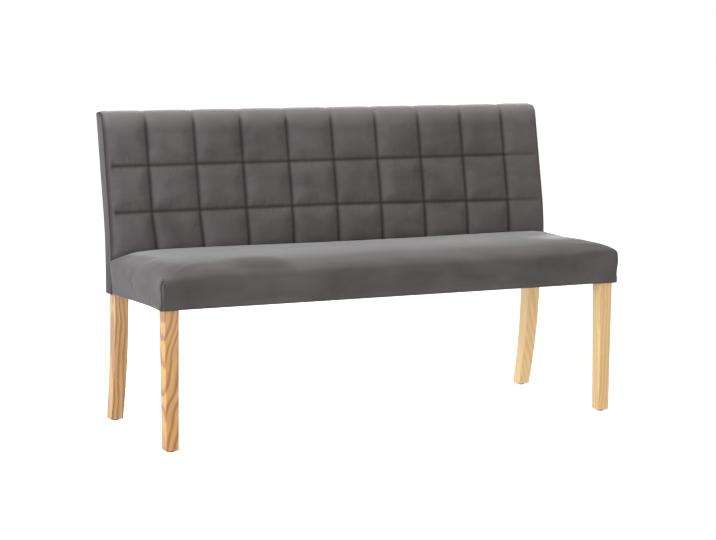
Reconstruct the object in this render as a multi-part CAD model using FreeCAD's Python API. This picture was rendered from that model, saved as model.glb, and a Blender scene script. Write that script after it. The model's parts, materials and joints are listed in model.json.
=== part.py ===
import FreeCAD, Part
import math
import os

# An upholstered bench with a quilted back, on four wooden legs.
# Millimetres, +Z up, the front faces -Y and left is -X. The origin is on the floor,
# below the middle of the bench's box.

# Overall sizes
bench_width = 1474.0
hem_height = 400.0
seat_depth = 438.0
seat_wall_height = 88.0
seat_crown_rise = 32.0

# Upholstery layers
cover_thickness = 2.0
wadding_thickness = 8.0
layer_gap = 0.4
hem_width = 25.0
hem_clearance = 0.3

# Seat cushion form: the wall swells to the edge, is drawn in between the corners, then domes
seat_bulge = 3.0
seat_draw = 2.5
dome_side_run = 80.0
dome_front_run = 90.0
dome_rear_run = 85.0
dome_corner_run = 45.0
dome_steps = 6
rear_corner_radius = 1.5

# Seat frame
rail_thickness = 22.0
deck_thickness = 12.0
edge_foam_height = 7.6
cross_rail_height = 45.0
cross_rail_place_share = 0.33

# Corner blocks
front_block_thickness = 24.0
front_block_height = 45.0
front_block_clearance = 4.5
rear_block_leg = 44.0
rear_block_height = 24.0

# Legs and foot glides
leg_width = 44.0
front_foot_width = 38.0
rear_foot_width = 40.0
rear_foot_depth = 40.0
rear_foot_setback = 60.0
leg_edge_radius = 3.0
leg_corner_flat = 10.0
foot_chamfer = 2.0
leg_section_shares = (0.0, 0.25, 0.5, 0.75, 1.0)
glide_radius = 12.0
glide_height = 4.0
glide_edge_radius = 1.0
glide_nail_radius = 1.5
glide_nail_length = 16.0

# Back: upright behind the seat, then a bend, then a straight lean to the rounded top
apron_rise = 6.0
back_bend_radius = 765.0
back_lean = math.radians(11.0)
crown_run = 286.4
top_radius = 24.0
back_foam_thickness = 16.0
top_foam_thickness = 12.0
back_panel_thickness = 4.0
stile_depth = 31.0
top_rail_height = 55.0
centre_stile_width = 30.0
centre_stile_place_share = 0.34

# Quilting of the back: columns between upright seams, rows between level seams
quilt_columns = 10
outer_column_share = 0.87
quilt_row_share = 0.34
quilt_crown = 12.0
quilt_seam_rise = 1.0
quilt_fullness = 3
row_station_shares = (0.0, 0.08, 0.22, 0.5, 0.78, 0.92)
rounding_steps = 6

# Wood screws and dowels
screw_radius = 2.0
screw_head_radius = 4.0
screw_head_height = 2.5
frame_screw_length = 50.0
frame_screw_spacing = 20.0
deck_screw_length = 35.0
deck_screw_place_share = 0.6
block_screw_length = 30.0
block_screw_recess = 4.0
block_screw_spacing = 10.0
panel_screw_length = 18.0
panel_screw_shares = (0.12, 0.5, 0.88)
dowel_radius = 4.0
dowel_length = 40.0
dowel_spacing = 30.0

# Hanger bolts of the front legs
hanger_radius = 4.0
hanger_depth = 35.0
hanger_tail = 5.0
hanger_washer_radius = 9.0
hanger_washer_thickness = 1.6
hanger_nut_width = 13.0
hanger_nut_height = 6.5
bolt_clearance = 0.4

# Bolts that hold the seat to the rear legs
leg_bolt_radius = 3.0
leg_bolt_length = 44.0
leg_bolt_head_radius = 5.25
leg_bolt_head_height = 3.3
leg_bolt_spacing = 40.0
leg_washer_radius = 6.25
leg_washer_thickness = 1.2
leg_insert_radius = 4.75
leg_insert_length = 20.0

# Dust cover under the seat
dust_cover_thickness = 1.0
dust_cover_inset = 10.0
dust_cover_notch = 1.0
staple_crown_length = 12.0
staple_wire = 1.0
staple_leg_length = 8.0
staple_inset = 18.0
staples_along_front = 9
staples_along_side = 3

# One overrun for every cut
cut_overrun = 2.0

# Places worked out from the sizes above
skin = cover_thickness + layer_gap + wadding_thickness + layer_gap
cover_edge = bench_width / 2 - cover_thickness
leg_outer = bench_width / 2 - skin
leg_inner = leg_outer - leg_width
leg_middle = leg_outer - leg_width / 2
seat_front = -(cover_thickness + seat_depth)
frame_front = seat_front + skin
frame_rear = -2 * cover_thickness - layer_gap
seat_edge_height = hem_height + seat_wall_height
rail_low = hem_height + cover_thickness + layer_gap
deck_top = seat_edge_height - edge_foam_height
rail_top = deck_top - deck_thickness
rail_middle = (rail_low + rail_top) / 2
rail_inner = leg_outer - rail_thickness
rear_rail_front = frame_rear - rail_thickness
bend_height = seat_edge_height + apron_rise
stile_front = back_foam_thickness + back_panel_thickness
stile_rear = stile_front + stile_depth
rear_cover_inner = stile_rear + layer_gap
rear_cover_outer = rear_cover_inner + cover_thickness
frame_run = crown_run - top_foam_thickness


def point(x, y, z):
    return FreeCAD.Vector(x, y, z)


def line(start, end):
    return Part.LineSegment(start, end).toShape()


def arc(start, middle, end):
    return Part.Arc(start, middle, end).toShape()


def box(x_low, x_high, y_low, y_high, z_low, z_high):
    return Part.makeBox(x_high - x_low, y_high - y_low, z_high - z_low, point(x_low, y_low, z_low))


def rod(start, direction, radius, length):
    return Part.makeCylinder(radius, length, start, direction)


def mirrored(shape):
    return shape.mirror(point(0, 0, 0), point(1, 0, 0))


def both_sides(shapes):
    return list(shapes) + [mirrored(shape) for shape in shapes]


def prism(corners, z_low, z_high):
    places = [point(x, y, z_low) for x, y in corners]
    return Part.Face(Part.makePolygon(places + places[:1])).extrude(point(0, 0, z_high - z_low))


def side_profile(edges, x_low, x_high):
    face = Part.Face(Part.Wire(Part.__sortEdges__(edges)))
    face.translate(point(x_low, 0, 0))
    return face.extrude(point(x_high - x_low, 0, 0))


def level_edges(places):
    return [line(start, end) for start, end in zip(places, places[1:])]


# A rectangle in plan with rounded corners, whose front and sides may be drawn in
def plan_outline(x_low, x_high, y_front, y_rear, front_radius, rear_radius, draw, z):
    def corner(x, y, radius, quarter):
        turns = [math.pi / 2 * (quarter + part) for part in (0, 0.5, 1)]
        return arc(*[point(x + radius * math.cos(turn), y + radius * math.sin(turn), z) for turn in turns])

    def side(x_start, y_start, x_end, y_end, x_draw, y_draw):
        start = point(x_start, y_start, z)
        end = point(x_end, y_end, z)
        middle = (start + end) * 0.5 + point(x_draw, y_draw, 0)
        return arc(start, middle, end) if x_draw or y_draw else line(start, end)

    x_left = x_low + front_radius
    x_right = x_high - front_radius
    y_low = y_front + front_radius
    y_high = y_rear - rear_radius
    return Part.Wire([
        side(x_left, y_front, x_right, y_front, 0, draw),
        corner(x_right, y_low, front_radius, -1),
        side(x_high, y_low, x_high, y_high, -draw, 0),
        corner(x_high - rear_radius, y_high, rear_radius, 0),
        side(x_high - rear_radius, y_rear, x_low + rear_radius, y_rear, 0, 0),
        corner(x_low + rear_radius, y_high, rear_radius, 1),
        side(x_low, y_high, x_low, y_low, draw, 0),
        corner(x_left, y_low, front_radius, 2),
    ])


# The seat's crowned form, grown outwards or, with a negative value, shrunk inwards
def seat_form(grow, rear, floor):
    half = bench_width / 2 + grow
    front = seat_front - grow
    radius = leg_edge_radius + skin + grow
    wires = [plan_outline(-half, half, front, rear, radius, rear_corner_radius, 0, floor)]
    for step in range(dome_steps + 1):
        angle = math.pi / 2 * step / dome_steps
        inward = 1 - math.cos(angle)
        reach = half + seat_bulge - dome_side_run * inward
        wires.append(plan_outline(
            -reach, reach,
            front - seat_bulge + dome_front_run * inward,
            rear - dome_rear_run * inward,
            radius + dome_corner_run * inward,
            rear_corner_radius + dome_corner_run * inward,
            seat_draw,
            seat_edge_height + (seat_crown_rise + grow) * math.sin(angle)))
    return Part.makeLoft(wires, True, True)


# The back's path is the inner face of the quilted cover. A place on it is (y, z), and an
# offset is measured square to it, towards the front.
def bend_point(offset, angle):
    radius = back_bend_radius + offset
    return (back_bend_radius - radius * math.cos(angle), bend_height + radius * math.sin(angle))


def lean_point(offset, run):
    y, z = bend_point(offset, back_lean)
    return (y + run * math.sin(back_lean), z + run * math.cos(back_lean))


def in_profile(place):
    return point(0, place[0], place[1])


# The path at an offset, from a height in the upright stretch to a run up the leaning stretch
def path_edges(offset, low, run):
    foot = in_profile(bend_point(offset, 0))
    shoulder = in_profile(lean_point(offset, 0))
    edges = [arc(foot, in_profile(bend_point(offset, back_lean / 2)), shoulder)]
    edges.append(line(shoulder, in_profile(lean_point(offset, run))))
    if low < bend_height:
        edges.append(line(point(0, -offset, low), foot))
    return edges


# A strip between two offsets of the path
def back_strip(front, rear, low, run, x_low, x_high):
    edges = path_edges(front, low, run) + path_edges(rear, low, run)
    edges.append(line(in_profile(lean_point(front, run)), in_profile(lean_point(rear, run))))
    edges.append(line(point(0, -front, low), point(0, -rear, low)))
    return side_profile(edges, x_low, x_high)


# The rounded top of the back at an offset, from its front face to its level run
def top_rounding(offset):
    y, z = lean_point(-top_radius, crown_run - top_radius)
    radius = top_radius + offset
    turns = [back_lean + math.pi / 2 * part for part in (0, 0.5, 1)]
    return arc(*[point(0, y - radius * math.cos(turn), z + radius * math.sin(turn)) for turn in turns])


# The whole side view of the back, between an offset at its front and top and one at its rear
def back_outline(front, rear, low):
    edges = path_edges(front, low, crown_run - top_radius)
    edges.append(top_rounding(front))
    edges.append(line(in_profile(lean_point(-top_radius, crown_run + front)),
                      in_profile(lean_point(rear, crown_run + front))))
    edges.extend(path_edges(rear, low, crown_run + front))
    edges.append(line(point(0, -front, low), point(0, -rear, low)))
    return edges


pieces = {}


def add_pair(name, right):
    pieces[name + "_right"] = right
    pieces[name + "_left"] = mirrored(right)


def add_group(name, shapes):
    pieces[name] = Part.makeCompound(shapes)


def drill(names, tools):
    for name in names:
        pieces[name] = pieces[name].cut(tools)


def left_and_right(*names):
    return [name + side for name in names for side in ("_left", "_right")]


# Front legs: a square taper below the hem and a post inside the seat above it
def front_leg():
    def section(width, z):
        x_low = leg_middle - width / 2
        y_low = frame_front + leg_width / 2 - width / 2
        return plan_outline(x_low, x_low + width, y_low, y_low + width,
                            leg_edge_radius, leg_edge_radius, 0, z)

    taper = Part.makeLoft([
        section(front_foot_width - 2 * foot_chamfer, glide_height),
        section(front_foot_width, glide_height + foot_chamfer),
        section(leg_width, hem_height),
    ], True, True)
    rear = frame_front + leg_width
    middle = leg_edge_radius * (1 - math.sqrt(0.5))
    post_edges = level_edges([
        point(leg_outer, frame_front + leg_edge_radius, hem_height),
        point(leg_outer, rear, hem_height),
        point(leg_inner + leg_corner_flat, rear, hem_height),
        point(leg_inner, rear - leg_corner_flat, hem_height),
        point(leg_inner, frame_front, hem_height),
        point(leg_outer - leg_edge_radius, frame_front, hem_height),
    ])
    post_edges.append(arc(point(leg_outer - leg_edge_radius, frame_front, hem_height),
                          point(leg_outer - middle, frame_front + middle, hem_height),
                          point(leg_outer, frame_front + leg_edge_radius, hem_height)))
    post = Part.Face(Part.Wire(post_edges)).extrude(point(0, 0, rail_top - hem_height))
    return taper.fuse(post)


# Rear legs: a foot that sweeps back below the hem, and a stile that carries the back above it
def rear_leg():
    drop = hem_height - glide_height

    def sweep(run, depth):
        radius = (run ** 2 + drop ** 2) / (2 * run)
        return radius - math.sqrt(radius ** 2 - depth ** 2)

    def section(z, inset):
        depth = hem_height - z
        width = leg_width + (rear_foot_width - leg_width) * depth / drop - 2 * inset
        front = sweep(rear_foot_setback, depth) + inset
        rear = stile_rear + sweep(rear_foot_setback + rear_foot_depth - stile_rear, depth) - inset
        return plan_outline(leg_middle - width / 2, leg_middle + width / 2, front, rear,
                            leg_edge_radius, leg_edge_radius, 0, z)

    sole = glide_height + foot_chamfer
    foot = Part.makeLoft([section(glide_height, foot_chamfer), section(sole, 0)], True, True)
    heights = [sole + (hem_height - sole) * share for share in leg_section_shares]
    leg = Part.makeLoft([section(height, 0) for height in heights], True, False)
    edges = path_edges(-stile_front, bend_height, frame_run) + path_edges(-stile_rear, hem_height, frame_run)
    edges.append(line(in_profile(lean_point(-stile_front, frame_run)),
                      in_profile(lean_point(-stile_rear, frame_run))))
    edges.extend(level_edges([
        point(0, stile_front, bend_height),
        point(0, 0, rail_top),
        point(0, 0, hem_height),
        point(0, stile_rear, hem_height),
    ]))
    stile = side_profile(edges, leg_inner, leg_outer)
    return stile.fuse([leg, foot])


add_pair("front_leg", front_leg())
add_pair("rear_leg", rear_leg())

# Foot glides, each with a nail into the foot
front_foot_y = frame_front + leg_width / 2
rear_foot_y = rear_foot_setback + rear_foot_depth / 2


def foot_glide(y):
    disc = rod(point(leg_middle, y, 0), point(0, 0, 1), glide_radius, glide_height)
    disc = disc.makeFillet(glide_edge_radius, [edge for edge in disc.Edges if edge.BoundBox.ZMax == 0])
    nail = rod(point(leg_middle, y, 0), point(0, 0, 1), glide_nail_radius, glide_height + glide_nail_length)
    return disc.fuse(nail)


glides = both_sides([foot_glide(front_foot_y), foot_glide(rear_foot_y)])
add_group("foot_glides", glides)
drill(left_and_right("front_leg", "rear_leg"), glides)

# Seat frame
pieces["seat_front_rail"] = box(-leg_inner, leg_inner, frame_front, frame_front + rail_thickness,
                                rail_low, rail_top)
pieces["seat_rear_rail"] = box(-leg_outer, leg_outer, rear_rail_front, frame_rear, rail_low, rail_top)
add_pair("seat_side_rail", box(rail_inner, leg_outer, frame_front + leg_width, rear_rail_front,
                               rail_low, rail_top))
cross_rail_x = bench_width / 2 * cross_rail_place_share
cross_rail_low = rail_top - cross_rail_height
add_pair("seat_cross_rail", box(cross_rail_x - rail_thickness / 2, cross_rail_x + rail_thickness / 2,
                                frame_front + rail_thickness, rear_rail_front, cross_rail_low, rail_top))
deck_outline = plan_outline(-leg_outer, leg_outer, frame_front, frame_rear,
                            leg_edge_radius, rear_corner_radius, 0, rail_top)
pieces["seat_deck"] = Part.Face(deck_outline).extrude(point(0, 0, deck_thickness))

# Corner blocks. A place on a front corner's diagonal is measured from the leg's outer corner.
flat_diagonal = (2 * leg_width - leg_corner_flat) / math.sqrt(2)
block_near = flat_diagonal + front_block_clearance
block_far = block_near + front_block_thickness
to_corner = point(1, -1, 0)


def on_diagonal(distance):
    step = distance / math.sqrt(2)
    return point(leg_outer - step, frame_front + step, rail_middle)


def front_block():
    near = block_near * math.sqrt(2) - rail_thickness
    far = block_far * math.sqrt(2) - rail_thickness
    corners = [
        (leg_outer - near, frame_front + rail_thickness),
        (leg_outer - far, frame_front + rail_thickness),
        (leg_outer - rail_thickness, frame_front + far),
        (leg_outer - rail_thickness, frame_front + near),
    ]
    return prism(corners, rail_middle - front_block_height / 2, rail_middle + front_block_height / 2)


def rear_block():
    corners = [
        (rail_inner, rear_rail_front),
        (rail_inner - rear_block_leg, rear_rail_front),
        (rail_inner, rear_rail_front - rear_block_leg),
    ]
    return prism(corners, rail_middle - rear_block_height / 2, rail_middle + rear_block_height / 2)


add_group("seat_corner_blocks_front", both_sides([front_block()]))
add_group("seat_corner_blocks_rear", both_sides([rear_block()]))


# Countersunk screw, its head flush with the start
def screw(start, direction, length):
    head = Part.makeCone(screw_head_radius, screw_radius, screw_head_height, start, direction)
    return head.fuse(rod(start, direction, screw_radius, length))


# Screws from each block into the two rails beside it, sunk below the block's slanted face
def block_screws():
    middle = (block_near + block_far) / 2 * math.sqrt(2) - rail_thickness
    front_head = block_far * math.sqrt(2) - middle - block_screw_recess
    half = rear_block_leg / 2
    rear_head = half - block_screw_recess
    low = rail_middle - block_screw_spacing / 2
    high = rail_middle + block_screw_spacing / 2
    return [
        (point(leg_outer - middle, frame_front + front_head, high), point(0, -1, 0)),
        (point(leg_outer - front_head, frame_front + middle, low), point(1, 0, 0)),
        (point(rail_inner - half, rear_rail_front - rear_head, high), point(0, 1, 0)),
        (point(rail_inner - rear_head, rear_rail_front - half, low), point(1, 0, 0)),
    ]


recess_run = block_screw_recess + screw_head_radius + cut_overrun
block_screw_solids = both_sides([screw(start, way, block_screw_length) for start, way in block_screws()])
block_recesses = both_sides([rod(start, way * -1, screw_head_radius, recess_run)
                             for start, way in block_screws()])
add_group("corner_block_screws", block_screw_solids)
drill(["seat_corner_blocks_front", "seat_corner_blocks_rear"], block_recesses)
drill(["seat_corner_blocks_front", "seat_corner_blocks_rear"], block_screw_solids)
drill(["seat_front_rail", "seat_rear_rail"] + left_and_right("seat_side_rail"), block_screw_solids)

# Hanger bolts: screwed into the leg's flat, drawn up by a nut behind the block
washer_start = block_far
nut_start = washer_start + hanger_washer_thickness
hanger_start = nut_start + hanger_nut_height + hanger_tail
hanger_length = hanger_start - flat_diagonal + hanger_depth
hanger_bolt = rod(on_diagonal(hanger_start), to_corner, hanger_radius, hanger_length)
hanger_hole = rod(on_diagonal(hanger_start), to_corner, hanger_radius + bolt_clearance,
                  hanger_start - block_near)
hanger_washer = rod(on_diagonal(nut_start), to_corner, hanger_washer_radius, hanger_washer_thickness)


def hanger_nut():
    radius = hanger_nut_width / math.sqrt(3)
    turns = [math.pi / 3 * side for side in range(6)]
    corners = [(radius * math.cos(turn), radius * math.sin(turn)) for turn in turns]
    nut = prism(corners, 0, hanger_nut_height)
    nut.Placement = FreeCAD.Placement(on_diagonal(nut_start + hanger_nut_height),
                                      FreeCAD.Rotation(point(0, 0, 1), to_corner))
    return nut


hanger_bolts = both_sides([hanger_bolt])
add_group("hanger_bolts", hanger_bolts)
add_group("hanger_bolt_washers", both_sides([hanger_washer]))
add_group("hanger_bolt_nuts", both_sides([hanger_nut()]))
drill(left_and_right("front_leg") + ["hanger_bolt_washers", "hanger_bolt_nuts"], hanger_bolts)
drill(["seat_corner_blocks_front"], both_sides([hanger_hole]))


# Screws through the front and rear rails into the ends of the cross and side rails
def frame_screws():
    screws = []
    cross_middle = (cross_rail_low + rail_top) / 2
    side_x = leg_outer - rail_thickness / 2
    for part in (-0.5, 0.5):
        lift = frame_screw_spacing * part
        front = point(cross_rail_x, frame_front, cross_middle + lift)
        rear = point(cross_rail_x, frame_rear, cross_middle + lift)
        side = point(side_x, frame_rear, rail_middle + lift)
        screws.append(screw(front, point(0, 1, 0), frame_screw_length))
        screws += [screw(start, point(0, -1, 0), frame_screw_length) for start in (rear, side)]
    return both_sides(screws)


seat_frame_screws = frame_screws()
add_group("seat_frame_screws", seat_frame_screws)
drill(["seat_front_rail", "seat_rear_rail"], seat_frame_screws)
drill(left_and_right("seat_cross_rail", "seat_side_rail"), seat_frame_screws)


# Dowels from the front and side rails into the front legs
def seat_dowels():
    dowels = []
    for part in (-0.5, 0.5):
        height = rail_middle + dowel_spacing * part
        front = point(leg_inner - dowel_length / 2, frame_front + rail_thickness / 2, height)
        side = point(leg_outer - rail_thickness / 2, frame_front + leg_width - dowel_length / 2, height)
        dowels.append(rod(front, point(1, 0, 0), dowel_radius, dowel_length))
        dowels.append(rod(side, point(0, 1, 0), dowel_radius, dowel_length))
    return both_sides(dowels)


seat_frame_dowels = seat_dowels()
add_group("seat_frame_dowels", seat_frame_dowels)
drill(left_and_right("front_leg", "seat_side_rail") + ["seat_front_rail"], seat_frame_dowels)


# Screws that hold the deck down
def deck_screw_set():
    down = point(0, 0, -1)
    far = bench_width / 2 * deck_screw_place_share
    middle = (frame_front + frame_rear) / 2
    centre_ys = (frame_front + rail_thickness / 2, frame_rear - rail_thickness / 2)
    places = [(far, y) for y in centre_ys]
    places += [(cross_rail_x, middle), (leg_outer - rail_thickness / 2, middle)]
    screws = both_sides([screw(point(x, y, deck_top), down, deck_screw_length) for x, y in places])
    return screws + [screw(point(0, y, deck_top), down, deck_screw_length) for y in centre_ys]


deck_screws = deck_screw_set()
add_group("deck_screws", deck_screws)
drill(["seat_deck", "seat_front_rail", "seat_rear_rail"], deck_screws)
drill(left_and_right("seat_cross_rail", "seat_side_rail"), deck_screws)

# Seat upholstery: foam on the deck, wadding round it, and the cover with its hem turned under
wadding_outer = -(cover_thickness + layer_gap)
wadding_inner = wadding_outer - wadding_thickness
pieces["seat_foam"] = seat_form(-skin, frame_rear, deck_top)
pieces["seat_wadding"] = seat_form(wadding_outer, frame_rear, rail_low).cut(
    seat_form(wadding_inner, frame_rear + cut_overrun, rail_low - cut_overrun))


def seat_cover():
    shell = seat_form(0, -cover_thickness, hem_height)
    hollow = seat_form(-cover_thickness, -2 * cover_thickness, hem_height + cover_thickness)
    half = bench_width / 2 - hem_width
    mouth = box(-half, half, seat_front + hem_width, -cover_thickness - hem_width,
                hem_height - cut_overrun, hem_height + cover_thickness + cut_overrun)
    leg_hole = box(leg_inner - hem_clearance, leg_outer + hem_clearance,
                   frame_front - hem_clearance, frame_front + leg_width + hem_clearance,
                   hem_height - cut_overrun, hem_height + cover_thickness + cut_overrun)
    return shell.cut([hollow, mouth] + both_sides([leg_hole]))


pieces["seat_cover"] = seat_cover()

# Dust cover and the staples that hold it through the hem into the rails
dust_half = bench_width / 2 - dust_cover_inset
dust_low = hem_height - dust_cover_thickness
dust_notch = box(leg_inner - dust_cover_notch, bench_width / 2, seat_front,
                 frame_front + leg_width + dust_cover_notch, dust_low - cut_overrun, hem_height + cut_overrun)
dust_sheet = box(-dust_half, dust_half, seat_front + dust_cover_inset, -cover_thickness - dust_cover_inset,
                 dust_low, hem_height)
pieces["seat_dust_cover"] = dust_sheet.cut(both_sides([dust_notch]))


def staple(x, y, along_x):
    half_long = staple_crown_length / 2
    half_wire = staple_wire / 2
    crown = box(-half_long, half_long, -half_wire, half_wire, dust_low - staple_wire, dust_low)
    leg = box(half_long - staple_wire, half_long, -half_wire, half_wire,
              dust_low - staple_wire, dust_low + staple_leg_length)
    solid = crown.fuse([leg, mirrored(leg)])
    if not along_x:
        solid.rotate(point(0, 0, 0), point(0, 0, 1), 90)
    solid.translate(point(x, y, 0))
    return solid


def staple_set():
    front = seat_front + staple_inset
    rear = -cover_thickness - staple_inset
    side = bench_width / 2 - staple_inset
    staples = []
    for step in range(staples_along_front):
        x = leg_inner * (2 * (step + 0.5) / staples_along_front - 1)
        staples.append(staple(x, front, True))
        staples.append(staple(x, rear, True))
    for step in range(staples_along_side):
        y = frame_front + leg_width + (rear - frame_front - leg_width) * (step + 0.5) / staples_along_side
        staples.append(staple(side, y, False))
        staples.append(staple(-side, y, False))
    return staples


staples = staple_set()
add_group("dust_cover_staples", staples)
drill(["seat_dust_cover", "seat_cover", "seat_front_rail", "seat_rear_rail"], staples)
drill(left_and_right("seat_side_rail"), staples)

# Frame of the back
pieces["back_bottom_rail"] = box(-leg_inner, leg_inner, stile_front, stile_rear, rail_low, rail_top)


def back_top_rail():
    corners = [
        lean_point(-stile_front, frame_run),
        lean_point(-stile_rear, frame_run),
        lean_point(-stile_rear, frame_run - top_rail_height),
        lean_point(-stile_front, frame_run - top_rail_height),
    ]
    places = [in_profile(corner) for corner in corners]
    return side_profile(level_edges(places + places[:1]), -leg_inner, leg_inner)


pieces["back_top_rail"] = back_top_rail()
centre_stile_x = bench_width / 2 * centre_stile_place_share
add_pair("back_centre_stile", back_strip(
    -stile_front, -stile_rear, rail_top, frame_run - top_rail_height,
    centre_stile_x - centre_stile_width / 2, centre_stile_x + centre_stile_width / 2))


# Dowels from the rails of the back into the stiles of the rear legs and the centre stiles
def back_dowels():
    dowels = []
    middle = (stile_front + stile_rear) / 2
    top_run = frame_run - top_rail_height / 2
    up = point(0, math.sin(back_lean), math.cos(back_lean))
    start = point(leg_inner - dowel_length / 2, 0, 0)
    for part in (-0.5, 0.5):
        lift = dowel_spacing * part
        low = point(0, middle, rail_middle + lift)
        high = in_profile(lean_point(-middle, top_run + lift))
        dowels += [rod(start + place, point(1, 0, 0), dowel_radius, dowel_length) for place in (low, high)]
    across = point(centre_stile_x, 0, 0)
    low = point(0, middle, rail_top - dowel_length / 2)
    high = in_profile(lean_point(-middle, frame_run - top_rail_height - dowel_length / 2))
    dowels.append(rod(across + low, point(0, 0, 1), dowel_radius, dowel_length))
    dowels.append(rod(across + high, up, dowel_radius, dowel_length))
    return both_sides(dowels)


back_frame_dowels = back_dowels()
add_group("back_frame_dowels", back_frame_dowels)
drill(left_and_right("rear_leg", "back_centre_stile"), back_frame_dowels)
drill(["back_top_rail", "back_bottom_rail"], back_frame_dowels)

# Plywood panel on the front of the back's frame
pieces["back_panel"] = back_strip(-back_foam_thickness, -stile_front, bend_height, frame_run,
                                  -leg_outer, leg_outer)


def panel_screw_set():
    inwards = point(0, math.cos(back_lean), -math.sin(back_lean))
    screws = []
    for share in panel_screw_shares:
        place = in_profile(lean_point(-back_foam_thickness, frame_run * share))
        screws.append(screw(place + point(leg_middle, 0, 0), inwards, panel_screw_length))
    place = in_profile(lean_point(-back_foam_thickness, frame_run * panel_screw_shares[1]))
    screws.append(screw(place + point(centre_stile_x, 0, 0), inwards, panel_screw_length))
    return both_sides(screws)


back_panel_screws = panel_screw_set()
add_group("back_panel_screws", back_panel_screws)
drill(left_and_right("rear_leg", "back_centre_stile") + ["back_panel"], back_panel_screws)


# Foam on the panel and over the top of the frame
def back_foam():
    edges = path_edges(-layer_gap, bend_height, crown_run - top_radius)
    edges.append(top_rounding(-layer_gap))
    edges.extend(path_edges(-back_foam_thickness, bend_height, frame_run))
    edges.extend(level_edges([in_profile(place) for place in (
        lean_point(-top_radius, crown_run - layer_gap),
        lean_point(-stile_rear, crown_run - layer_gap),
        lean_point(-stile_rear, frame_run),
        lean_point(-back_foam_thickness, frame_run),
    )]))
    edges.append(line(point(0, layer_gap, bend_height), point(0, back_foam_thickness, bend_height)))
    return side_profile(edges, -leg_outer, leg_outer)


pieces["back_foam"] = back_foam()
side_padding = side_profile(back_outline(-layer_gap, -stile_rear, rail_low),
                            leg_outer + layer_gap, cover_edge - layer_gap)
add_pair("back_side_padding", side_padding)

# Quilted front cover. A station is a length along the path, over the rounded top to the rear.
bend_length = back_bend_radius * back_lean
face_length = bend_length + crown_run - top_radius
rounding_end = face_length + top_radius * math.pi / 2
cover_length = rounding_end + rear_cover_inner - top_radius
row_height = face_length * quilt_row_share
column_width = 2 * cover_edge / (quilt_columns - 2 + 2 * outer_column_share)


def path_frame(station):
    if station <= bend_length:
        heading = station / back_bend_radius
        place = bend_point(0, heading)
    elif station <= face_length:
        heading = back_lean
        place = lean_point(0, station - bend_length)
    elif station <= rounding_end:
        heading = back_lean + (station - face_length) / top_radius
        y, z = lean_point(-top_radius, crown_run - top_radius)
        place = (y - top_radius * math.cos(heading), z + top_radius * math.sin(heading))
    else:
        heading = back_lean + math.pi / 2
        place = lean_point(-top_radius - (station - rounding_end), crown_run)
    return in_profile(place), point(0, -math.cos(heading), math.sin(heading))


# Height of the padding above the seams, over the share of a row's height
def quilt_rise(share):
    return quilt_seam_rise + (quilt_crown - quilt_seam_rise) * (1 - abs(2 * share - 1) ** quilt_fullness)


def quilt_section(station, rise):
    place, outward = path_frame(station)

    def at(x, height):
        return place + point(x, 0, 0) + outward * height

    inner_edge = column_width * (quilt_columns / 2 - 1)
    seams = [-cover_edge]
    seams += [column_width * step - inner_edge for step in range(quilt_columns - 1)]
    seams.append(cover_edge)
    edges = []
    for start, end in zip(seams, seams[1:]):
        peak = at((start + end) / 2, cover_thickness + rise)
        edges.append(arc(at(start, cover_thickness), peak, at(end, cover_thickness)))
    edges += level_edges([at(cover_edge, cover_thickness), at(cover_edge, 0),
                          at(-cover_edge, 0), at(-cover_edge, cover_thickness)])
    return Part.Wire(edges)


def quilted_cover():
    top_row = 2 * row_height
    top_length = cover_length - top_row
    stations = []
    for row in range(2):
        stations += [(row_height * (row + share), share) for share in row_station_shares]
    face_stations = [top_row + (face_length - top_row) * share for share in row_station_shares]
    rounding = [face_length + (rounding_end - face_length) * step / rounding_steps
                for step in range(rounding_steps + 1)]
    stations += [(station, (station - top_row) / top_length) for station in face_stations + rounding]
    stations.append((cover_length, 1))
    sections = [quilt_section(station, quilt_rise(share)) for station, share in stations]
    return Part.makeLoft(sections, True, True)


pieces["back_quilted_cover"] = quilted_cover()
pieces["back_cover_apron"] = box(-cover_edge, cover_edge, -cover_thickness, 0, hem_height, bend_height)
add_pair("back_side_band", side_profile(back_outline(cover_thickness, -rear_cover_outer, hem_height),
                                        cover_edge, cover_edge + cover_thickness))


# Rear cover, turned under at the hem round the rear legs
def rear_cover():
    top = crown_run + cover_thickness
    edges = path_edges(-rear_cover_inner, hem_height + cover_thickness, top)
    edges.extend(path_edges(-rear_cover_outer, hem_height, top))
    edges.append(line(in_profile(lean_point(-rear_cover_inner, top)),
                      in_profile(lean_point(-rear_cover_outer, top))))
    edges.extend(level_edges([
        point(0, rear_cover_inner, hem_height + cover_thickness),
        point(0, 0, hem_height + cover_thickness),
        point(0, 0, hem_height),
        point(0, rear_cover_outer, hem_height),
    ]))
    leg_hole = box(leg_inner - hem_clearance, leg_outer + hem_clearance, -cut_overrun, rear_cover_inner,
                   hem_height - cut_overrun, hem_height + cover_thickness + cut_overrun)
    return side_profile(edges, -cover_edge, cover_edge).cut(both_sides([leg_hole]))


pieces["back_rear_cover"] = rear_cover()

# Bolts from inside the seat, through its rear rail, into threaded inserts in the rear legs
leg_bolt_x = leg_outer - (rail_thickness + leg_width) / 2
backwards = point(0, 1, 0)


def leg_fixing(height):
    start = point(leg_bolt_x, rear_rail_front - leg_washer_thickness, height)
    head = rod(start, backwards * -1, leg_bolt_head_radius, leg_bolt_head_height)
    bolt = head.fuse(rod(start, backwards, leg_bolt_radius, leg_bolt_length))
    washer = rod(start, backwards, leg_washer_radius, leg_washer_thickness)
    insert = rod(point(leg_bolt_x, 0, height), backwards, leg_insert_radius, leg_insert_length)
    hole = rod(point(leg_bolt_x, rear_rail_front - cut_overrun, height), backwards,
               leg_bolt_radius + bolt_clearance, cut_overrun - rear_rail_front)
    return bolt, washer, insert, hole


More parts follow.
